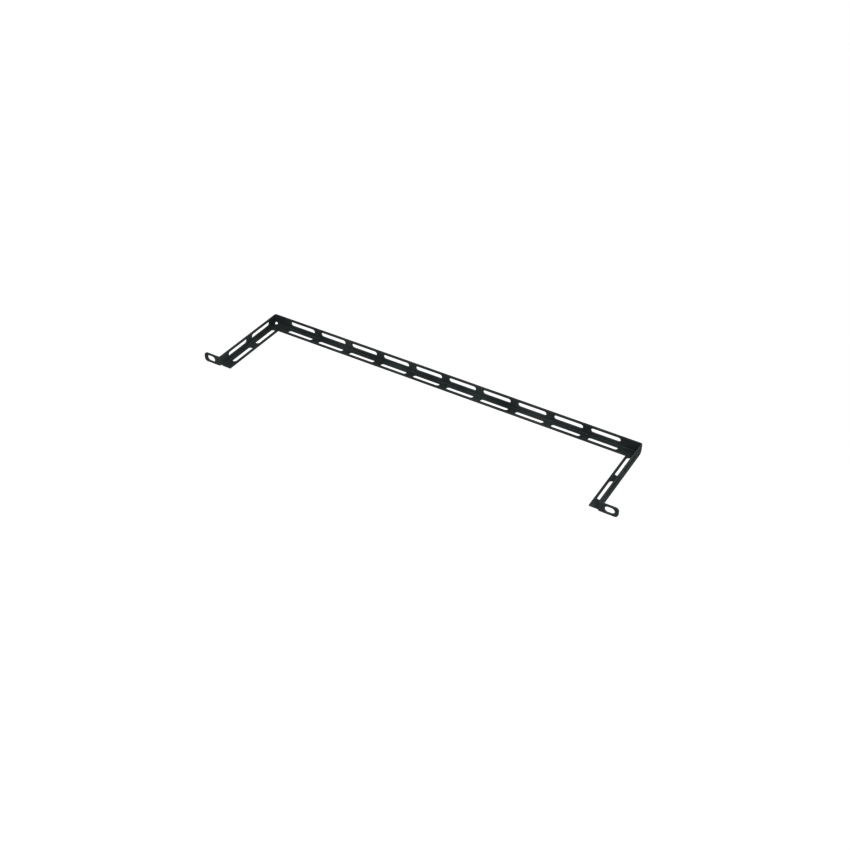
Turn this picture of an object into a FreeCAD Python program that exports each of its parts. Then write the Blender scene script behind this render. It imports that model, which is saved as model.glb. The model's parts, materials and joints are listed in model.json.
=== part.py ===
import FreeCAD, Part
import math
import os
import Sketcher

# An offset lacing bar for the back of an equipment rack. It is one strip of sheet steel: slotted
# in the flat, folded along its length to an angle, bent square at two corners and turned out at
# both ends into ears that screw to the rack's rails.
# X runs along the bar, Y from the rails to the bar and Z up. The angle's wall stands on the
# outside of the bends and its shelf points inwards, flush with the bottom.

# Driving dimensions in millimetres, as name, size and meaning
dimensions = [
    ("bar_length", 444.5, "outside face of one arm to that of the other"),
    ("arm_depth", 101.6, "rail face of the ears to the back of the bar"),
    ("ear_length", 19.05, "outside face of an arm to the tip of its ear"),
    ("wall_height", 12.7, "height of the angle's wall"),
    ("shelf_width", 11.6, "outside of the wall to the free edge of the shelf"),
    ("gauge", 1.5, "thickness of the sheet"),
    ("bend_radius", 0.8, "inside radius of every fold and bend"),
    ("slot_length", 32.5, "lacing slot from end to end"),
    ("slot_width", 5.4, "lacing slot from side to side"),
    ("slot_pitch", 40.8, "centre of a lacing slot to that of the next"),
    ("slot_edge", 4.76, "centre line of a row of lacing slots to the free edge beside it"),
    ("bar_margin", 18.0, "least plain length at each end of the bar, from the arm's outside face"),
    ("arm_setback", 29.3, "back of the bar to the centre of the first slot of an arm"),
    ("arm_margin", 10.0, "least plain length at the end of an arm, from the rail face"),
    ("relief_diameter", 5.9, "hole in the flat strip where the folds of a corner cross"),
    ("mitre_gap", 0.1, "open seam between the two shelves of a corner"),
    ("ear_relief", 1.7, "end of an arm's shelf to the bend of its ear"),
    ("ear_corner", 3.5, "radius of an ear's two corners"),
    ("screw_setback", 10.3, "outside face of an arm to the centre of its screw slot"),
    ("screw_slot_length", 10.6, "screw slot from end to end"),
    ("screw_slot_width", 7.3, "screw slot from side to side"),
]


class Size:
    """A number together with the spreadsheet formula that gives it."""

    def __init__(self, number, formula):
        self.number = number
        self.formula = formula

    def __add__(self, other):
        other = as_size(other)
        return Size(self.number + other.number, f"({self.formula} + {other.formula})")

    def __sub__(self, other):
        other = as_size(other)
        return Size(self.number - other.number, f"({self.formula} - {other.formula})")

    def __mul__(self, other):
        other = as_size(other)
        return Size(self.number * other.number, f"({self.formula} * {other.formula})")

    def __truediv__(self, other):
        other = as_size(other)
        return Size(self.number / other.number, f"({self.formula} / {other.formula})")

    def __neg__(self):
        return Size(-self.number, f"(-{self.formula})")

    def root(self):
        return Size(math.sqrt(self.number), f"sqrt({self.formula})")

    def whole(self):
        return Size(math.floor(self.number), f"floor({self.formula})")


def as_size(value):
    return value if isinstance(value, Size) else Size(value, repr(value))


doc = FreeCAD.newDocument("lacing_bar")
sheet = doc.addObject("Spreadsheet::Sheet", "Sizes")
for row, (name, number, meaning) in enumerate(dimensions, start=1):
    sheet.set(f"A{row}", meaning)
    sheet.set(f"B{row}", str(number))
    sheet.setAlias(f"B{row}", name)
doc.recompute()

bar_length, arm_depth, ear_length, wall_height, shelf_width, gauge, bend_radius, \
    slot_length, slot_width, slot_pitch, slot_edge, bar_margin, arm_setback, arm_margin, \
    relief_diameter, mitre_gap, ear_relief, ear_corner, \
    screw_setback, screw_slot_length, screw_slot_width = (
        Size(sheet.get(name), f"Sizes.{name}") for name, number, meaning in dimensions)

# Places that several features share
arm_face = bar_length / 2
ear_tip = arm_face + ear_length
fold = gauge + bend_radius                                # an outside face to the end of its bend
wall_row = wall_height - slot_edge                        # height of the slots in the walls
shelf_row = shelf_width - slot_edge                       # wall's outside to the slots in the shelf
slot_web = slot_pitch - slot_length
bar_slots = ((bar_length - bar_margin * 2 + slot_web) / slot_pitch).whole()
first_bar_slot = -slot_pitch * (bar_slots - 1) / 2
first_arm_slot = arm_depth - arm_setback
arm_slots = ((first_arm_slot + slot_length / 2 + slot_web - arm_margin) / slot_pitch).whole()
shelf_end = fold + ear_relief
ear_middle = (fold + wall_height) / 2

# The middle of a bend in the flat strip, measured back from the outside faces that it joins. The
# strip's middle plane keeps its length in the bend.
fold_line = fold - (bend_radius + gauge / 2) * (math.pi / 4)
relief_radius = relief_diameter / 2
# Height of the relief hole's edge where the corner bend starts
relief_top = fold_line + (relief_radius * relief_radius - (fold - fold_line) * (fold - fold_line)).root()

body = doc.addObject("PartDesign::Body", "lacing_bar")
body.Label = "lacing_bar"
origin = {feature.Role: feature for feature in body.Origin.OriginFeatures}


def bind(item, prop, size):
    item.setExpression(prop, size.formula)


def new_sketch(name, plane, offset=None):
    """A sketch on an origin plane of the body, moved along the plane's normal by offset."""
    sketch = body.newObject("Sketcher::SketchObject", name)
    sketch.AttachmentSupport = (origin[plane], [""])
    sketch.MapMode = "FlatFace"
    if offset:
        bind(sketch, "AttachmentOffset.Base.z", offset)
    return sketch


def fix(sketch, kind, size, *geometry):
    """Adds a dimension to a sketch and ties it to its formula."""
    index = sketch.addConstraint(Sketcher.Constraint(kind, *geometry, size.number))
    bind(sketch, f"Constraints[{index}]", size)


def fix_point(sketch, edge, point, x, y):
    fix(sketch, "DistanceX", x, -1, 1, edge, point)
    fix(sketch, "DistanceY", y, -1, 1, edge, point)


def arc_between(start, end, radius, turn):
    """The smaller arc from start to end. It bends left where turn is 1 and right where it is -1."""
    half = (end - start) / 2
    left = FreeCAD.Vector(-half.y, half.x, 0).normalize() * turn
    rise = radius - math.sqrt(radius ** 2 - half.Length ** 2)
    return Part.Arc(start, start + half - left * rise, end)


def outline(sketch, *corners):
    """A closed outline through corners, each an x and a y. Where a radius and a turn follow them,
    the edge to the next corner is an arc."""
    edges = []
    for (x, y, *bend), following in zip(corners, corners[1:] + corners[:1]):
        start = FreeCAD.Vector(x.number, y.number, 0)
        end = FreeCAD.Vector(following[0].number, following[1].number, 0)
        if bend:
            radius, turn = bend
            edge = sketch.addGeometry(arc_between(start, end, radius.number, turn))
            fix(sketch, "Radius", radius, edge)
            first, last = (1, 2) if turn > 0 else (2, 1)
        else:
            edge = sketch.addGeometry(Part.LineSegment(start, end))
            first, last = 1, 2
        fix_point(sketch, edge, first, x, y)
        edges.append((edge, first, last))
    for (edge, _, last), (after, first, _) in zip(edges, edges[1:] + edges[:1]):
        sketch.addConstraint(Sketcher.Constraint("Coincident", edge, last, after, first))


def circle(sketch, x, y, radius):
    centre = FreeCAD.Vector(x.number, y.number, 0)
    edge = sketch.addGeometry(Part.Circle(centre, FreeCAD.Vector(0, 0, 1), radius.number))
    fix_point(sketch, edge, 3, x, y)
    fix(sketch, "Radius", radius, edge)


def oblong(sketch, x, y, length, width, upright=False):
    """A slot with round ends about the point x, y, along the sketch's first axis or, where it is
    upright, its second."""
    reach = (length - width) / 2
    radius = width / 2
    ends = [(x, y - reach), (x, y + reach)] if upright else [(x - reach, y), (x + reach, y)]
    quarter = math.pi / 2
    tilt = quarter if upright else 0
    arcs = []
    for (end_x, end_y), turn in zip(ends, (tilt + quarter, tilt - quarter)):
        centre = FreeCAD.Vector(end_x.number, end_y.number, 0)
        ring = Part.Circle(centre, FreeCAD.Vector(0, 0, 1), radius.number)
        arcs.append(sketch.addGeometry(Part.ArcOfCircle(ring, turn, turn + math.pi)))
        fix_point(sketch, arcs[-1], 3, end_x, end_y)
    for arc, after in (arcs, arcs[::-1]):
        side = sketch.addGeometry(Part.LineSegment(sketch.getPoint(arc, 2), sketch.getPoint(after, 1)))
        sketch.addConstraint(Sketcher.Constraint("Tangent", arc, 2, side, 1))
        sketch.addConstraint(Sketcher.Constraint("Tangent", side, 2, after, 1))
    sketch.addConstraint(Sketcher.Constraint("Equal", *arcs))
    fix(sketch, "Radius", radius, arcs[0])


def pad(name, sketch, length, against_normal=False, both_ways=False):
    feature = body.newObject("PartDesign::Pad", name)
    feature.Profile = sketch
    feature.Reversed = against_normal
    feature.SideType = "Symmetric" if both_ways else "One side"
    bind(feature, "Length", length)
    doc.recompute()
    return feature


def pocket(name, sketch, depth, along_normal=False, both_ways=False):
    before = body.Shape.Volume
    feature = body.newObject("PartDesign::Pocket", name)
    feature.Profile = sketch
    feature.Reversed = along_normal
    feature.SideType = "Symmetric" if both_ways else "One side"
    bind(feature, "Length", depth)
    doc.recompute()
    if feature.Shape.Volume >= before:
        raise RuntimeError(f"{name} cuts nothing")
    return feature


def repeat(name, feature, axis, count, backwards=False):
    """A row of lacing slots from the first one, at the slots' pitch."""
    pattern = body.newObject("PartDesign::LinearPattern", name)
    pattern.Originals = [feature]
    pattern.Direction = (origin[axis], [""])
    pattern.Reversed = backwards
    pattern.Mode = "Spacing"
    bind(pattern, "Offset", slot_pitch)
    bind(pattern, "Occurrences", count)
    body.Tip = pattern
    doc.recompute()


def angle_section(sketch, outside):
    """The folded angle, with the outside of its wall at x and its shelf pointing to smaller x."""
    outline(
        sketch,
        (outside, wall_height),
        (outside - gauge, wall_height),
        (outside - gauge, fold, bend_radius, -1),
        (outside - fold, gauge),
        (outside - shelf_width, gauge),
        (outside - shelf_width, as_size(0)),
        (outside - fold, as_size(0), fold, 1),
        (outside, fold),
    )


# The bar and one arm, each a straight run of the angle between its bends
section = new_sketch("bar_section", "YZ_Plane")
angle_section(section, arm_depth)
pad("bar", section, bar_length - fold * 2, both_ways=True)

section = new_sketch("arm_section", "XZ_Plane", -shelf_end)
angle_section(section, arm_face)
arm = pad("arm", section, arm_depth - fold - shelf_end, against_normal=True)

# The relief hole, which lies in the bar's wall, in the arm's wall and in the shelf once folded
sketch = new_sketch("bar_relief_hole", "XZ_Plane", -arm_depth)
circle(sketch, arm_face - fold_line, fold_line, relief_radius)
bar_relief = pocket("bar_relief", sketch, fold, along_normal=True)

sketch = new_sketch("arm_relief_hole", "YZ_Plane", arm_face)
circle(sketch, arm_depth - fold_line, fold_line, relief_radius)
arm_relief = pocket("arm_relief", sketch, fold)

sketch = new_sketch("shelf_relief_hole", "XY_Plane")
circle(sketch, arm_face - fold_line, arm_depth - fold_line, relief_radius)
shelf_relief = pocket("shelf_relief", sketch, fold, along_normal=True)

# The corner bend joins the two walls above the relief hole
sketch = new_sketch("corner_plan", "XY_Plane", relief_top)
outline(
    sketch,
    (arm_face - fold, arm_depth - gauge, bend_radius, -1),
    (arm_face - gauge, arm_depth - fold),
    (arm_face, arm_depth - fold, fold, 1),
    (arm_face - fold, arm_depth),
)
corner = pad("corner", sketch, wall_height - relief_top)

# The mitre is an open seam on the diagonal, from the relief hole to the shelves' inner corner
seam_side = mitre_gap / math.sqrt(8)
seam_end = shelf_width + mitre_gap
sketch = new_sketch("mitre_seam", "XY_Plane")
outline(
    sketch,
    (arm_face - fold_line + seam_side, arm_depth - fold_line - seam_side),
    (arm_face - fold_line - seam_side, arm_depth - fold_line + seam_side),
    (arm_face - seam_end - seam_side, arm_depth - seam_end + seam_side),
    (arm_face - seam_end + seam_side, arm_depth - seam_end - seam_side),
)
mitre = pocket("mitre", sketch, gauge, along_normal=True)

# The ear is the arm's wall, carried past the shelf, bent outwards and rounded at its tip
sketch = new_sketch("ear_bend_plan", "XY_Plane", fold)
outline(
    sketch,
    (arm_face, shelf_end),
    (arm_face - gauge, shelf_end),
    (arm_face - gauge, fold, fold, 1),
    (arm_face + bend_radius, as_size(0)),
    (arm_face + bend_radius, gauge, bend_radius, -1),
    (arm_face, fold),
)
ear_bend = pad("ear_bend", sketch, wall_height - fold)

sketch = new_sketch("ear_outline", "XZ_Plane")
outline(
    sketch,
    (arm_face + bend_radius, fold),
    (ear_tip - ear_corner, fold, ear_corner, 1),
    (ear_tip, fold + ear_corner),
    (ear_tip, wall_height - ear_corner, ear_corner, 1),
    (ear_tip - ear_corner, wall_height),
    (arm_face + bend_radius, wall_height),
)
oblong(sketch, arm_face + screw_setback, ear_middle, screw_slot_length, screw_slot_width)
ear = pad("ear", sketch, gauge, against_normal=True)

# The other arm
mirrored = body.newObject("PartDesign::Mirrored", "other_arm")
mirrored.Originals = [arm, bar_relief, arm_relief, shelf_relief, corner, mitre, ear_bend, ear]
mirrored.MirrorPlane = (origin["YZ_Plane"], [""])
body.Tip = mirrored
doc.recompute()

# Lacing slots, in line with each other in the wall and the shelf
sketch = new_sketch("bar_wall_slot", "XZ_Plane", -arm_depth)
oblong(sketch, first_bar_slot, wall_row, slot_length, slot_width)
repeat("bar_wall_slots", pocket("bar_wall_cut", sketch, gauge, along_normal=True), "X_Axis", bar_slots)

sketch = new_sketch("bar_shelf_slot", "XY_Plane")
oblong(sketch, first_bar_slot, arm_depth - shelf_row, slot_length, slot_width)
repeat("bar_shelf_slots", pocket("bar_shelf_cut", sketch, gauge, along_normal=True), "X_Axis", bar_slots)

sketch = new_sketch("arm_wall_slot", "YZ_Plane")
oblong(sketch, first_arm_slot, wall_row, slot_length, slot_width)
cut = pocket("arm_wall_cut", sketch, bar_length, both_ways=True)
repeat("arm_wall_slots", cut, "Y_Axis", arm_slots, backwards=True)

sketch = new_sketch("arm_shelf_slot", "XY_Plane")
for side in (arm_face - shelf_row, shelf_row - arm_face):
    oblong(sketch, side, first_arm_slot, slot_length, slot_width, upright=True)
cut = pocket("arm_shelf_cut", sketch, gauge, along_normal=True)
repeat("arm_shelf_slots", cut, "Y_Axis", arm_slots, backwards=True)

# The origin lies on the rail face, midway between the two screw slots
bind(body, "Placement.Base.z", -ear_middle)
doc.recompute()

failed = [item.Name for item in doc.Objects if {"Invalid", "Error"} & set(item.State)]
if failed:
    raise RuntimeError("failed objects: " + ", ".join(failed))
if body.Shape.isNull() or not body.Shape.isValid() or len(body.Shape.Solids) != 1:
    raise RuntimeError("the lacing bar is not one sound solid")

os.makedirs("parts", exist_ok=True)
body.Shape.exportStep(os.path.join("parts", body.Label + ".step"))
box = body.Shape.BoundBox
print(f"lacing_bar {box.XLength:.2f} x {box.YLength:.2f} x {box.ZLength:.2f} mm, "
      f"{body.Shape.Volume:.1f} cubic mm, {len(body.Shape.Faces)} faces")
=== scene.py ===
import json
import math
import bpy
import numpy as np
from mathutils import Matrix, Vector


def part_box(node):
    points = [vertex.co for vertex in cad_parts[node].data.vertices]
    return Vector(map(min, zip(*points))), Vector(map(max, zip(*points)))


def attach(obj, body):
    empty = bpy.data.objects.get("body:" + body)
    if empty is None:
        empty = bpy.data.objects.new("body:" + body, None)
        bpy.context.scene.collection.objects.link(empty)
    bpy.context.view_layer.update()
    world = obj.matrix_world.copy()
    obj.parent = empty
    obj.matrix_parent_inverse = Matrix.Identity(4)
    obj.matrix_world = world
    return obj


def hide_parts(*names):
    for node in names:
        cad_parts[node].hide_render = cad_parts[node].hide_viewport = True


# An offset lacing bar: one strip of sheet steel, slotted in the flat, folded to an angle, bent
# square at two corners, turned out into ears and coated black. Its skin is worked out the same way
# here: a flat blank with every slot cut in it, its edges rounded, and then folded. Sizes are in
# millimetres unless a note says otherwise.

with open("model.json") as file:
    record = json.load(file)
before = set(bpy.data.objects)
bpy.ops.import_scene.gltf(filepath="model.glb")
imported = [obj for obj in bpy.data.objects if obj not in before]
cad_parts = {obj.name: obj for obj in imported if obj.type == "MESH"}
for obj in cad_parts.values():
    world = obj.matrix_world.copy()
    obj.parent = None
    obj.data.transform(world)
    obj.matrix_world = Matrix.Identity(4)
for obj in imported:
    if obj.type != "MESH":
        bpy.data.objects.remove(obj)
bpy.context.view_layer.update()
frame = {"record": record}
millimetre = 0.001
quarterTurn = math.pi / 2
eighthTurn = math.pi / 4

# Sizes that the frame gives
record = frame["record"]
boxLow, boxHigh = (np.array(corner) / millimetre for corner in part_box("lacing_bar"))
openings = {o["name"]: np.array(o["box_m"]) / millimetre for o in record["physics"]["openings"]}
railSlots = next(m for m in record["mounts"] if m["name"] == "rail_slots")["dims"]
armDepth = boxHigh[1] - boxLow[1]                # rail face of the ears to the back of the bar
wallHeight = boxHigh[2] - boxLow[2]
earTip = boxHigh[0]
print("frame loaded, box in mm:", (boxHigh - boxLow).round(2))

strip = {
    "barLength": 444.5,          # outside face of one arm to that of the other
    "gauge": 1.5,
    "bendRadius": 0.8,           # inside of every fold and bend
    "shelfWidth": 11.6,          # outside of the wall to the shelf's free edge
    "slotLength": 32.5,
    "slotWidth": 5.4,
    "screwLength": railSlots["slot_length_mm"],
    "screwWidth": 2 * railSlots["hole_r_mm"],
    "screwSpan": railSlots["spacing_x_mm"],
    "reliefDiameter": 5.9,       # hole where the folds of a corner cross
    "mitreGap": 0.1,             # open seam between the two shelves of a corner
    "earRelief": 1.7,            # end of an arm's shelf to the bend of its ear
    "earCorner": 3.5,
    "edgeRadius": 0.08,          # every cut edge, deburred and coated
}

# How finely the blank is divided, as numbers of pieces, and how its pieces join
fineness = {
    "slotSide": 8,               # straight side of a slot
    "slotEighth": 6,             # an eighth of the turn at a slot's end
    "slotEnd": 12,               # the quarter turn that faces along the strip, a multiple of 3
    "bend": 10,                  # a quarter turn of a fold, even
    "slotRows": 3,               # slot to the border of its cell
    "cornerRows": 7,             # relief hole to the border of the corner
    "plain": 4,                  # a short plain run, even
    "edge": 4,                   # a quarter turn of the rounded edge
    "weldSquare": 0.001,         # points that fall in the same square of this size are one point
    "weldShift": 0.37,           # of a square, to keep round sizes off the squares' borders
    "sharpAngle": 35,            # degrees between two faces from which their edge stays sharp
}

# A fold keeps the length of the sheet's middle plane. Its middle line lies foldLine back from the
# outside faces that meet there, and it takes up halfBend of the blank to each side.
outerRadius = strip["gauge"] + strip["bendRadius"]
middleRadius = strip["bendRadius"] + strip["gauge"] / 2
halfBend = middleRadius * eighthTurn
foldLine = outerRadius - halfBend

# Places along the blank, from the middle of the bar to the tip of an ear
armFace = strip["barLength"] / 2
cornerStart = armFace - outerRadius
cornerMiddle = cornerStart + halfBend
armStart = cornerStart + 2 * halfBend
earBendStart = armStart + armDepth - 2 * outerRadius
earStart = earBendStart + 2 * halfBend
blankEnd = earStart + earTip - armFace - strip["bendRadius"]
shelfEnd = earBendStart - strip["earRelief"]

# Places across the blank, from the middle of the fold: the wall is negative, the shelf positive
wallEdge = foldLine - wallHeight
shelfEdge = strip["shelfWidth"] - foldLine
acrossFold = np.linspace(-halfBend, halfBend, fineness["bend"] + 1)

# Borders of the flat faces, which end where the rounding of a cut edge begins
edgeRadius = strip["edgeRadius"]
wallTop = wallEdge + edgeRadius
shelfTip = shelfEdge - edgeRadius
earLow = -halfBend - edgeRadius
lastShelf = shelfEnd - edgeRadius


# Middles of the openings whose names begin so, along one axis, in rising order
def slotMiddles(name, axis):
    return np.sort([box.mean(0)[axis] for key, box in openings.items() if key.startswith(name)])


# Where the slots lie on the blank, and where the runs of cells round them begin and end
wallRow = foldLine + boxLow[2] - slotMiddles("bar_wall_slot", 2)[0]
shelfRow = boxLow[1] + armDepth - slotMiddles("bar_shelf_slot", 1)[0] - foldLine
barMiddles = slotMiddles("bar_wall_slot", 0)
barMiddles = barMiddles[barMiddles > 0]
armMiddles = earBendStart + outerRadius - slotMiddles("right_arm_wall_slot", 1)[::-1]
halfPitch = (barMiddles[1] - barMiddles[0]) / 2
barCellsEnd = barMiddles[-1] + halfPitch
armCellsEnd = armMiddles[-1] + halfPitch
armCellsStart = (cornerMiddle + shelfEdge + armMiddles[0] - strip["slotLength"] / 2) / 2


# Points of the blank, each as along, across and through (0 in the middle of the sheet), are folded.
# Across, they go down the wall, round a quarter turn whose radius is middleRadius plus through, and
# out along the shelf. Along, they follow the bar, a quarter turn to the rails, the arm and a
# quarter turn outwards to the ear. The side with negative along mirrors the other.
def foldStrip(along, across, through):
    turn = np.clip(across + halfBend, 0, 2 * halfBend) / middleRadius
    reach = middleRadius + through
    inward = outerRadius - reach * np.cos(turn) + np.maximum(across - halfBend, 0)
    height = outerRadius - reach * np.sin(turn) - np.minimum(across + halfBend, 0)

    distance = np.abs(along)
    corner = np.clip(distance - cornerStart, 0, 2 * halfBend) / middleRadius
    outTurn = np.clip(distance - earBendStart, 0, 2 * halfBend) / middleRadius
    onBar = np.minimum(distance, cornerStart)
    onArm = np.clip(distance - armStart, 0, earBendStart - armStart)
    onEar = np.maximum(distance - earStart, 0)
    cornerReach = outerRadius - inward
    earReach = strip["bendRadius"] + inward
    x = onBar + cornerReach * np.sin(corner) + earReach * (1 - np.cos(outTurn)) + onEar
    y = armDepth - outerRadius + cornerReach * np.cos(corner) - onArm - earReach * np.sin(outTurn)
    return np.stack([np.sign(along) * x, boxLow[1] + y, boxLow[2] + height], -1)


# Even steps from start to end, without the end itself
def steps(start, end, count):
    return np.linspace(start, end, count, endpoint=False)


# Points from places along and places across, where one of them may stay the same
def pairs(along, across):
    return np.stack(np.broadcast_arrays(along, across), -1)


# A slot's outline: a circle as wide as the slot turns once while its centre slides to one end and
# back
def slotOutline(middle, row, length, width):
    slide = (length - width) / 2
    eighth, side, end = fineness["slotEighth"], fineness["slotSide"], fineness["slotEnd"]
    turn = np.concatenate([
        steps(-3 * eighthTurn, -quarterTurn, eighth), np.full(side, -quarterTurn),
        steps(-quarterTurn, -eighthTurn, eighth), steps(-eighthTurn, eighthTurn, end),
        steps(eighthTurn, quarterTurn, eighth), np.full(side, quarterTurn),
        steps(quarterTurn, 3 * eighthTurn, eighth), steps(3 * eighthTurn, 5 * eighthTurn, end)])
    centre = np.concatenate([
        np.full(eighth, -slide), steps(-slide, slide, side), np.full(2 * eighth + end, slide),
        steps(slide, -slide, side), np.full(eighth + end, -slide)])
    return pairs(middle + centre + width / 2 * np.cos(turn), row + width / 2 * np.sin(turn))


# Points along a cell's long side, over the points of its slot's side
def cellSide(start, end, middle, slide):
    eighth, side = fineness["slotEighth"], fineness["slotSide"]
    return np.concatenate([
        steps(start, middle - slide, eighth), steps(middle - slide, middle + slide, side),
        steps(middle + slide, end, eighth)])


# A rectangle, walked in step with the slot's outline
def cellOutline(start, end, low, high, middle, slide):
    there = cellSide(start, end, middle, slide)
    back = cellSide(end, start, middle, -slide)
    ends = fineness["slotEnd"]
    return np.concatenate([pairs(there, low), pairs(end, steps(low, high, ends)),
                           pairs(back, high), pairs(start, steps(high, low, ends))])


# The ear's outline, walked in step with its screw slot: a rectangle with two corners rounded, each
# a quarter of a circle about a centre that stays put, then slides along the tip
def earOutline(start, tip, low, high, radius):
    eighth, side, end = fineness["slotEighth"], fineness["slotSide"], fineness["slotEnd"]
    third = end // 3
    turn = np.concatenate([
        steps(-quarterTurn, -eighthTurn, eighth), steps(-eighthTurn, 0, third), np.zeros(third),
        steps(0, eighthTurn, third), steps(eighthTurn, quarterTurn, eighth)])
    centre = np.concatenate([
        np.full(eighth + third, low + radius), steps(low + radius, high - radius, third),
        np.full(third + eighth, high - radius)])
    return np.concatenate([
        pairs(steps(start, tip - radius, eighth + side), low),
        pairs(tip - radius + radius * np.cos(turn), centre + radius * np.sin(turn)),
        pairs(steps(tip - radius, start, side + eighth), high),
        pairs(start, steps(high, low, end))])


# Straight lines from each point of one outline to the same point of another, cut into even rows
def patchBetween(inner, outer, rows):
    share = np.linspace(0, 1, rows + 1)[:, None, None]
    return inner + share * (outer - inner)


# The same between two closed outlines, whose first points come once more at the end
def ringPatch(inner, outer, rows):
    inner = np.concatenate([inner, inner[:1]])
    outer = np.concatenate([outer, outer[:1]])
    return patchBetween(inner, outer, rows)


# Every place along with every place across
def gridPatch(along, across):
    return pairs(along[:, None], across[None, :])


# A run of cells, each a slot and the rectangle round it, in a row on the wall and a row on the
# shelf, with the fold as a plain grid between the two rows. Cells meet halfway between two slots.
def slotCells(start, middles, end):
    length = strip["slotLength"] + 2 * edgeRadius
    width = strip["slotWidth"] + 2 * edgeRadius
    slide = (length - width) / 2
    rows = ((wallTop, -halfBend, wallRow), (halfBend, shelfTip, shelfRow))
    cuts = [start, *((middles[1:] + middles[:-1]) / 2), end]
    patches = []
    for left, right, middle in zip(cuts, cuts[1:], middles):
        for low, high, row in rows:
            slot = slotOutline(middle, row, length, width)
            cell = cellOutline(left, right, low, high, middle, slide)
            patches.append(ringPatch(slot, cell, fineness["slotRows"]))
        alongFold = np.append(cellSide(left, right, middle, slide), right)
        patches.append(gridPatch(alongFold, acrossFold))
    return patches


# Half of a corner, as the distance from the bend's middle line and the place across. The lines run
# from the relief hole to the border of the corner: first the mitre, then over the shelf, level over
# the fold, over the wall, and upright over the bend, where the hole's edge is straight.
def cornerPatch(reach):
    radius = strip["reliefDiameter"] / 2 + edgeRadius
    seam = strip["mitreGap"] / math.sqrt(2) + edgeRadius * math.sqrt(2)
    seamFoot = (math.sqrt(2 * radius ** 2 - seam ** 2) - seam) / 2
    seamTurn = math.atan2(seamFoot, seamFoot + seam)
    foldTurn = math.asin(halfBend / radius)
    end, plain, bend = fineness["slotEnd"], fineness["slotEighth"], fineness["bend"]
    downFold = steps(halfBend, -halfBend, bend)
    onBend = np.linspace(halfBend, 0, bend // 2 + 1)
    turn = np.concatenate([
        steps(seamTurn, foldTurn, plain + end), np.arcsin(downFold / radius),
        steps(-foldTurn, foldTurn - quarterTurn, end + plain)])
    hole = np.concatenate([
        radius * pairs(np.cos(turn), np.sin(turn)), pairs(onBend, -radius * math.cos(foldTurn))])
    border = np.concatenate([
        pairs(steps(shelfTip + seam, reach, plain), shelfTip),
        pairs(reach, steps(shelfTip, halfBend, end)),
        pairs(reach, downFold),
        pairs(reach, steps(-halfBend, wallTop, end)),
        pairs(steps(reach, halfBend, plain), wallTop),
        pairs(onBend, wallTop)])
    return patchBetween(hole, border, fineness["cornerRows"])


# The end of the arm: plain grids over the wall, the fold and the shelf as far as the shelf goes,
# and on over the wall alone to its bend and round it
def armEndPatches():
    rows, plain, bend = fineness["slotEnd"], fineness["plain"], fineness["bend"]
    onWall = np.linspace(wallTop, -halfBend, rows + 1)
    onShelf = np.linspace(halfBend, shelfTip, rows + 1)
    onEar = np.linspace(wallTop, earLow, rows + 1)
    lastFold = np.append(earLow, acrossFold[1:])
    return [
        patchBetween(pairs(armCellsEnd, onWall), pairs(lastShelf, onEar), plain),
        patchBetween(pairs(armCellsEnd, acrossFold), pairs(lastShelf, lastFold), plain),
        gridPatch(np.linspace(armCellsEnd, lastShelf, plain + 1), onShelf),
        gridPatch(np.linspace(lastShelf, earBendStart, plain // 2 + 1), onEar),
        gridPatch(np.linspace(earBendStart, earStart, bend + 1), onEar)]


# The ear: a ring from its screw slot to its own outline
def earPatch():
    middle = earStart + strip["screwSpan"] / 2 - armFace - strip["bendRadius"]
    row = (wallEdge - halfBend) / 2
    length = strip["screwLength"] + 2 * edgeRadius
    width = strip["screwWidth"] + 2 * edgeRadius
    screw = slotOutline(middle, row, length, width)
    tip = blankEnd - edgeRadius
    ear = earOutline(earStart, tip, wallTop, earLow, strip["earCorner"] - edgeRadius)
    return ringPatch(screw, ear, fineness["slotRows"])


# The blank from its middle to the tip of an ear, and its mirror image. The corner is half on the
# bar and half on the arm.
def blankPatches():
    patches = slotCells(0, barMiddles, barCellsEnd)
    patches += slotCells(armCellsStart, armMiddles, armCellsEnd)
    patches.append(cornerPatch(cornerMiddle - barCellsEnd) * (-1, 1) + (cornerMiddle, 0))
    patches.append(cornerPatch(armCellsStart - cornerMiddle) + (cornerMiddle, 0))
    patches += armEndPatches()
    patches.append(earPatch())
    return patches + [patch * (-1, 1) for patch in patches]


# Quads over a patch's rows and columns, counted on from first and turned to run anticlockwise: the
# sign of the sum of their areas says whether they do
def patchQuads(patch, first):
    index = first + np.arange(patch[..., 0].size).reshape(patch.shape[:2])
    quads = np.stack([index[:-1, :-1], index[1:, :-1], index[1:, 1:], index[:-1, 1:]], -1)
    quads = quads.reshape(-1, 4)
    acrossFirst = patch[1:, 1:] - patch[:-1, :-1]
    acrossSecond = patch[:-1, 1:] - patch[1:, :-1]
    area = acrossFirst[..., 0] * acrossSecond[..., 1] - acrossFirst[..., 1] * acrossSecond[..., 0]
    return quads if area.sum() > 0 else quads[:, ::-1]


# Patches become one flat mesh: points that fall in the same small square are one point
def weldPatches(patches):
    points = np.concatenate([patch.reshape(-1, 2) for patch in patches])
    firsts = np.cumsum([0] + [patch[..., 0].size for patch in patches[:-1]])
    quads = np.concatenate([patchQuads(patch, first) for patch, first in zip(patches, firsts)])
    squares = np.floor(points / fineness["weldSquare"] + fineness["weldShift"]).astype(np.int64)
    kept, place = np.unique(squares, axis=0, return_index=True, return_inverse=True)[1:]
    return points[kept], place.reshape(-1)[quads]


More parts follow.
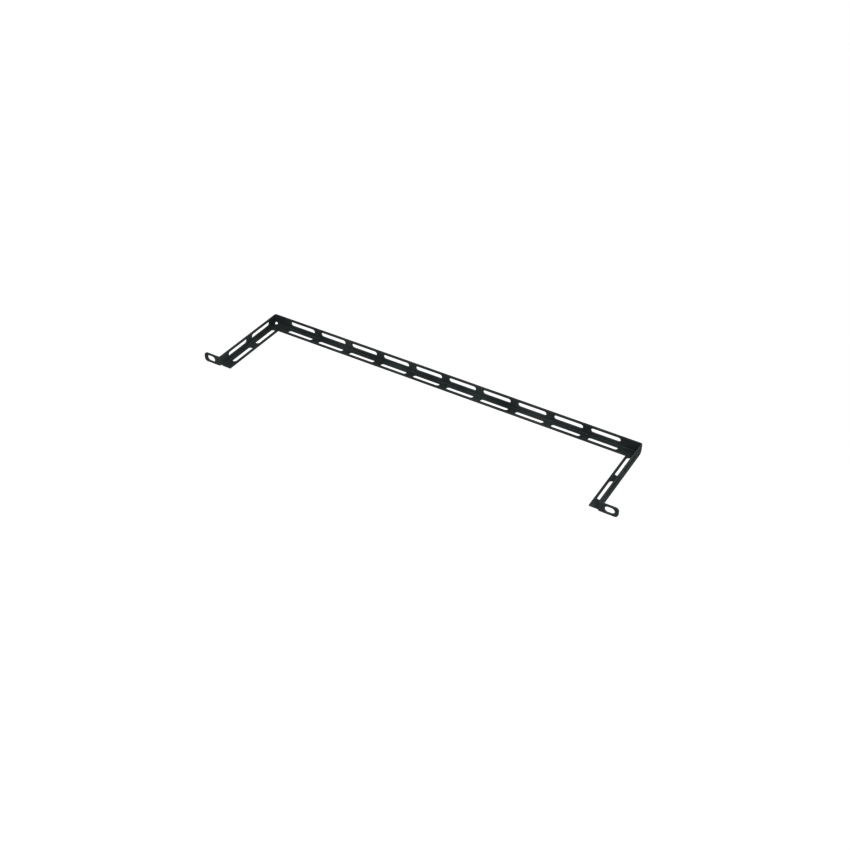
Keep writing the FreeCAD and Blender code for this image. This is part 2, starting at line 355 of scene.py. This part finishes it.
# The blank's border edges, which only one quad has, and each point's way outwards, which is to the
# right of its edges. At a corner it is the sum of the two directions divided by one plus their
# product, which keeps both edges at full distance. Inside the blank it is zero.
def blankBorder(points, quads):
    edges = np.stack([quads, np.roll(quads, -1, 1)], -1).reshape(-1, 2)
    first, count = np.unique(np.sort(edges, 1), axis=0, return_index=True, return_counts=True)[1:]
    border = edges[first[count == 1]]
    run = points[border[:, 1]] - points[border[:, 0]]
    right = np.stack([run[:, 1], -run[:, 0]], -1) / np.linalg.norm(run, axis=1)[:, None]
    after, before = np.zeros((2, *points.shape))
    after[border[:, 0]] = right
    before[border[:, 1]] = right
    return border, (after + before) / (1 + (after * before).sum(1))[:, None]


# The profile of a cut edge from the outside face to the inside face, as the reach from the border
# and the place through the sheet: a quarter turn, a straight cut and a quarter turn
def edgeProfile():
    turn = np.linspace(0, quarterTurn, fineness["edge"] + 1)
    reach = edgeRadius * np.sin(turn)
    through = strip["gauge"] / 2 - edgeRadius * (1 - np.cos(turn))
    return np.concatenate([reach, reach[::-1]]), np.concatenate([through, -through[::-1]])


# Corners of the quads between each level of a profile and the next, from values at its points
def bandCorners(values, border):
    start, end = values[:, border[:, 0]], values[:, border[:, 1]]
    return np.stack([end[:-1], start[:-1], start[1:], end[1:]], 2)


# The sheet: the flat mesh on both faces, and along every border a band that carries the profile of
# a cut edge outwards, all folded. Also says which points are on a cut edge.
def sheetMesh(points, quads, border, outward):
    reach, through = edgeProfile()
    around, count = border[:, 0], len(points)
    band = points[around] + reach[1:-1, None, None] * outward[around]
    flat = np.concatenate([points, points, band.reshape(-1, 2)])
    depth = np.concatenate([
        np.full(count, through[0]), np.full(count, through[-1]),
        np.repeat(through[1:-1], len(around))])

    # Number of each border point at each level of the profile
    levels = np.zeros((len(reach), count), np.int64)
    levels[0] = np.arange(count)
    levels[-1] = levels[0] + count
    levels[1:-1, around] = 2 * count + np.arange(band[..., 0].size).reshape(band.shape[:2])
    edgeQuads = bandCorners(levels, border).reshape(-1, 4)
    faces = np.concatenate([quads, quads[:, ::-1] + count, edgeQuads])
    onEdge = np.arange(len(flat)) >= 2 * count
    return foldStrip(flat[:, 0], flat[:, 1], depth) * millimetre, faces, onEdge


# How the flat blank lies on the sheet's texture map
flatMap = {
    "name": "OFBake",            # the map that a bake looks for
    "rows": 4,                   # pieces that each face is cut into, along its length
    "gap": 0.6,                  # between two rows
    "border": 0.003,             # share of the map that is left free all round
}


# Corners of the sheet's quads as places on the flat blank, and which quads go with the inside face.
# A cut edge lies beside a face, as far out as its profile is long: its first rounding and straight
# cut beside the outside face, its last rounding beside the inside face.
def flatCorners(points, quads, border, outward):
    reach, through = edgeProfile()
    unrolled = np.append(0, np.cumsum(np.hypot(np.diff(reach), np.diff(through))))
    byOutside = bandCorners(points + unrolled[:, None, None] * outward, border)
    byInside = bandCorners(points + unrolled[::-1, None, None] * outward, border)
    lastRounding = len(reach) // 2
    onEdges = np.concatenate([byOutside[:lastRounding], byInside[lastRounding:]])
    corners = np.concatenate([points[quads], points[quads[:, ::-1]], onEdges.reshape(-1, 4, 2)])
    inside = np.concatenate([
        np.zeros(len(quads)), np.ones(len(quads)),
        np.repeat(np.arange(len(reach) - 1) >= lastRounding, len(border))])
    return corners, inside


# Places on the map, from 0 to 1, of such corners: a quad goes to the row that its middle is in,
# counted along the blank, and rows lie side by side. The inside face's rows come after the outside
# face's, and are turned over, because they are seen from behind.
def layOut(corners, inside):
    rows, border = flatMap["rows"], flatMap["border"]
    rowLength = 2 * blankEnd / rows
    row = np.clip(np.floor((corners[..., 0].mean(1) + blankEnd) / rowLength), 0, rows - 1)
    along = corners[..., 0] - (row * rowLength)[:, None]
    across = corners[..., 1] * (1 - 2 * inside)[:, None]
    across = across + ((row + rows * inside) * (np.ptp(across) + flatMap["gap"]))[:, None]
    place = np.stack([along, across], -1).reshape(-1, 2)
    return border + (1 - 2 * border) * (place - place.min(0)) / np.ptp(place, axis=0)


# A mesh from whole arrays: places in metres and quads
def makeMesh(name, places, quads):
    mesh = bpy.data.meshes.new(name)
    mesh.vertices.add(len(places))
    mesh.vertices.foreach_set("co", places.astype(np.float32).ravel())
    mesh.loops.add(quads.size)
    mesh.loops.foreach_set("vertex_index", quads.astype(np.int32).ravel())
    mesh.polygons.add(len(quads))
    mesh.polygons.foreach_set("loop_start", np.arange(0, quads.size, 4, dtype=np.int32))
    mesh.update(calc_edges=True)
    mesh.validate()
    piece = bpy.data.objects.new(name, mesh)
    bpy.context.scene.collection.objects.link(piece)
    return piece


edgeMark = "cut_edge"                      # 1 at the points of the cut edges, for the coat to read
blank = weldPatches(blankPatches())        # points and quads
outline = blankBorder(*blank)              # border edges and ways outwards
places, faces, onEdge = sheetMesh(*blank, *outline)
mapPlaces = layOut(*flatCorners(*blank, *outline))
bar = makeMesh("lacing_bar_sheet", places, faces)
bar.data.shade_smooth()
bar.data.set_sharp_from_angle(angle=math.radians(fineness["sharpAngle"]))
marks = bar.data.attributes.new(edgeMark, "FLOAT", "POINT")
marks.data.foreach_set("value", onEdge.astype(np.float32))
textureMap = bar.data.uv_layers.new(name=flatMap["name"])
textureMap.uv.foreach_set("vector", mapPlaces.astype(np.float32).ravel())
flatNormals = bar.modifiers.new("even faces", "WEIGHTED_NORMAL")
flatNormals.keep_sharp = True
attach(bar, "root")
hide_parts("lacing_bar")
print("sheet folded:", len(places), "points,", len(faces), "quads")


# A socket that takes Python's operators: an expression on values adds its Math nodes
class Wire:
    def __init__(self, tree, socket=None):
        self.tree = tree
        self.socket = socket

    # Any node, from its type, its settings and the values or links of its sockets
    def node(self, kind, settings=None, inputs=None, output=0):
        made = self.tree.nodes.new(kind)
        for name, value in (settings or {}).items():
            setattr(made, name, value)
        for name, value in (inputs or {}).items():
            if isinstance(value, Wire):
                self.tree.links.new(value.socket, made.inputs[name])
            else:
                made.inputs[name].default_value = value
        return Wire(self.tree, made.outputs[output] if made.outputs else None)

    def maths(self, operation, left, right):
        return self.node("ShaderNodeMath", {"operation": operation}, {0: left, 1: right})

    def __add__(self, other):
        return self.maths("ADD", self, other)

    def __radd__(self, other):
        return self.maths("ADD", other, self)

    def __sub__(self, other):
        return self.maths("SUBTRACT", self, other)

    def __rsub__(self, other):
        return self.maths("SUBTRACT", other, self)

    def __mul__(self, other):
        return self.maths("MULTIPLY", self, other)

    def __rmul__(self, other):
        return self.maths("MULTIPLY", other, self)

    # This value and another, added in shares that make up one
    def mixedWith(self, other, share):
        return (1 - share) * self + share * other

    # Noise from about 0 to 1 whose grain is about size metres wide, with as many finer layers as
    # detail says, each fade times as strong as the one before
    def noise(self, size, detail, fade=0.55):
        return self.node("ShaderNodeTexNoise", None,
                         {"Vector": self, "Scale": 1 / size, "Detail": detail, "Roughness": fade})

    # 0 up to start, 1 from end on, and a smooth rise between them
    def rise(self, start, end):
        return self.node("ShaderNodeMapRange", {"interpolation_type": "SMOOTHSTEP"},
                         {"Value": self, "From Min": start, "From Max": end})

    # A colour between two, by this share: the node's inputs 6 and 7 and output 2 are colours
    def colour(self, first, second):
        return self.node("ShaderNodeMix", {"data_type": "RGBA"}, {0: self, 6: first, 7: second}, 2)


# An empty material, and a wire to make its nodes with
def newMaterial(name):
    made = bpy.data.materials.new(name)
    made.use_nodes = True
    made.node_tree.nodes.clear()
    return made, Wire(made.node_tree)


coat = {
    "deepTone": (0.0195, 0.0240, 0.0245, 1),
    "paleTone": (0.0440, 0.0505, 0.0510, 1),
    "thinTone": (0.043, 0.049, 0.050, 1),      # over the cut edges, where the coat draws thin
    "cloudSize": 0.030,                        # metres, slow drift of tone and gloss
    "cloudDetail": 3,
    "peelSize": 0.0024,                        # metres, soft waves left as the powder flows
    "peelDetail": 1,
    "grainSize": 0.00060,                      # metres, the coat's fine grain
    "grainDetail": 2,
    "toneGrain": 0.55,                         # share of grain in the tone, the rest is clouds
    "toneRange": (0.34, 0.66),                 # noise at which the tone is deepest and palest
    "patchPeel": 0.6,                          # share of waves in the thin patches, the rest clouds
    "patchRange": (0.35, 0.62),                # noise at which such a patch begins and is full
    "thinLeast": 0.35,                         # of the thin tone, on cut edges outside the patches
    "roughness": 0.68,
    "roughnessDrift": 0.12,                    # change of roughness over the clouds' whole range
    "grainRoughness": 0.18,                    # and over the grain's
    "noiseMiddle": 0.5,                        # value that both swing about
    "specular": 0.25,
    "bumpGrain": 0.6,                          # share of grain in the bump, the rest is waves
    "bumpHeight": 0.000240,                    # metres, from the lowest grain to the highest
}


# Black powder coat. Tone is the deep and the pale one mixed by slow clouds and fine grain, then the
# thin one where a cut edge and a patchy noise meet. Roughness drifts with the clouds and the grain.
# The bump is soft waves and grain.
def blackCoat():
    material, wire = newMaterial("black_coat_finish")
    place = wire.node("ShaderNodeTexCoord", output="Object")
    cloud = place.noise(coat["cloudSize"], coat["cloudDetail"])
    peel = place.noise(coat["peelSize"], coat["peelDetail"])
    grain = place.noise(coat["grainSize"], coat["grainDetail"])
    onCut = wire.node("ShaderNodeAttribute", {"attribute_name": edgeMark}, output="Fac")
    patchy = cloud.mixedWith(peel, coat["patchPeel"]).rise(*coat["patchRange"])
    thin = onCut * (coat["thinLeast"] + (1 - coat["thinLeast"]) * patchy)
    tone = cloud.mixedWith(grain, coat["toneGrain"]).rise(*coat["toneRange"])
    colour = thin.colour(tone.colour(coat["deepTone"], coat["paleTone"]), coat["thinTone"])
    roughness = coat["roughness"] + coat["roughnessDrift"] * (cloud - coat["noiseMiddle"])
    roughness = roughness + coat["grainRoughness"] * (grain - coat["noiseMiddle"])
    height = peel.mixedWith(grain, coat["bumpGrain"])
    normal = wire.node("ShaderNodeBump", None,
                       {"Strength": 1.0, "Distance": coat["bumpHeight"], "Height": height})
    shader = wire.node("ShaderNodeBsdfPrincipled", None, {
        "Base Color": colour, "Roughness": roughness, "Normal": normal,
        "Specular IOR Level": coat["specular"]})
    wire.node("ShaderNodeOutputMaterial", None, {"Surface": shader})
    return material


bar.data.materials.append(blackCoat())
print("coat on")

studio = {
    "floorHalf": 30.0,                         # metres
    "floorGap": 0.00002,                       # metres under the part, so that no faces coincide
    "floorTone": (0.015, 0.015, 0.015, 1),
    "floorRoughness": 0.9,
    "floorGlow": (1.0, 0.997, 0.992, 1),       # a light table: it is lit from below as well
    "floorStrength": 0.98,
    "backdropTone": (0.996, 0.993, 0.988, 1),  # what the camera sees past the floor
    "skyTone": (1.06, 1.06, 1.06, 1),          # the room above, as the part sees it
    "groundTone": (1.31, 1.31, 1.31, 1),       # the floor, as the part sees it
    "groundTop": -0.02,                        # height on the unit sphere where the sky is full
    "groundDepth": -0.25,                      # height where the ground is full
    "printGamma": 0.55,                        # deepens the middle tones, as in a catalogue picture
}

# Soft square lamps, as place and size in metres and power in watts: a broad one over the camera,
# and two low ones for the sides that the camera doesn't see
lamps = {
    "key": ((0.78, -1.31, 1.54), 1.6, 120.0),
    "side": ((-1.6, -0.35, 0.45), 1.2, 21.0),
    "back": ((0.9, 1.5, 0.45), 1.2, 27.0),
}


# The floor: a square of four corners just under the part. Only the camera sees it: the part is lit
# through it.
def makeFloor():
    corners = studio["floorHalf"] * np.array([(-1, -1), (1, -1), (1, 1), (-1, 1)])
    level = np.full((4, 1), boxLow[2] * millimetre - studio["floorGap"])
    floor = makeMesh("floor", np.concatenate([corners, level], 1), np.arange(4)[None])
    material, wire = newMaterial("pale_floor")
    shader = wire.node("ShaderNodeBsdfPrincipled", None, {
        "Base Color": studio["floorTone"], "Roughness": studio["floorRoughness"],
        "Specular IOR Level": 0.0,
        "Emission Color": studio["floorGlow"], "Emission Strength": studio["floorStrength"]})
    wire.node("ShaderNodeOutputMaterial", None, {"Surface": shader})
    floor.data.materials.append(material)
    floor.visible_diffuse = False
    floor.visible_glossy = False
    floor.visible_shadow = False


# A lamp that faces the middle of the part
def makeLamp(name, place, size, power):
    light = bpy.data.lights.new(name, "AREA")
    light.size = size
    light.energy = power
    lamp = bpy.data.objects.new(name, light)
    lamp.location = place
    middle = Vector((0, armDepth / 2 * millimetre, 0))
    lamp.rotation_euler = (middle - lamp.location).to_track_quat("-Z", "Y").to_euler()
    bpy.context.scene.collection.objects.link(lamp)


# Light from all round: the sky's tone above, the ground's below, and a smooth change under the
# horizon. The camera sees a plain backdrop instead.
def makeWorld():
    world = bpy.data.worlds.new("studio")
    world.use_nodes = True
    world.node_tree.nodes.clear()
    wire = Wire(world.node_tree)
    direction = wire.node("ShaderNodeTexCoord")
    upward = wire.node("ShaderNodeSeparateXYZ", None, {"Vector": direction}, "Z")
    share = upward.rise(studio["groundDepth"], studio["groundTop"])
    around = share.colour(studio["groundTone"], studio["skyTone"])
    toCamera = wire.node("ShaderNodeLightPath", output="Is Camera Ray")
    seen = toCamera.colour(around, studio["backdropTone"])
    glow = wire.node("ShaderNodeBackground", None, {"Color": seen})
    wire.node("ShaderNodeOutputWorld", None, {"Surface": glow})
    bpy.context.scene.world = world


makeFloor()
for name, (place, size, power) in lamps.items():
    makeLamp(name, place, size, power)
makeWorld()
bpy.context.scene.view_settings.view_transform = "Standard"
bpy.context.scene.view_settings.gamma = studio["printGamma"]
print("studio lit")

camera = {
    "aim": (22.48, 20.81, 0.0),                # where the middle of the picture falls
    "distance": 1207.9,
    "azimuth": 30.557,                         # degrees, to the right of straight in front
    "elevation": 37.753,
    "roll": 0.711,
    "lens": 51.17,                             # for a sensor 36 mm wide
    "nearest": 0.05,                           # metres, what it can see
    "farthest": 120.0,                         # metres
}


# The camera stands off from its aim by distance, turned by azimuth and elevation, and rolls about
# its own line of sight
def makeCamera():
    azimuth, elevation, roll = (math.radians(camera[k]) for k in ("azimuth", "elevation", "roll"))
    level = math.cos(elevation)
    back = Vector((math.sin(azimuth) * level, -math.cos(azimuth) * level, math.sin(elevation)))
    data = bpy.data.cameras.new("camera")
    data.lens = camera["lens"]
    data.clip_start = camera["nearest"]
    data.clip_end = camera["farthest"]
    piece = bpy.data.objects.new("camera", data)
    turned = back.to_track_quat("Z", "Y").to_matrix().to_4x4() @ Matrix.Rotation(roll, 4, "Z")
    stand = (Vector(camera["aim"]) + back * camera["distance"]) * millimetre
    piece.matrix_world = Matrix.Translation(stand) @ turned
    bpy.context.scene.collection.objects.link(piece)
    bpy.context.scene.camera = piece


makeCamera()
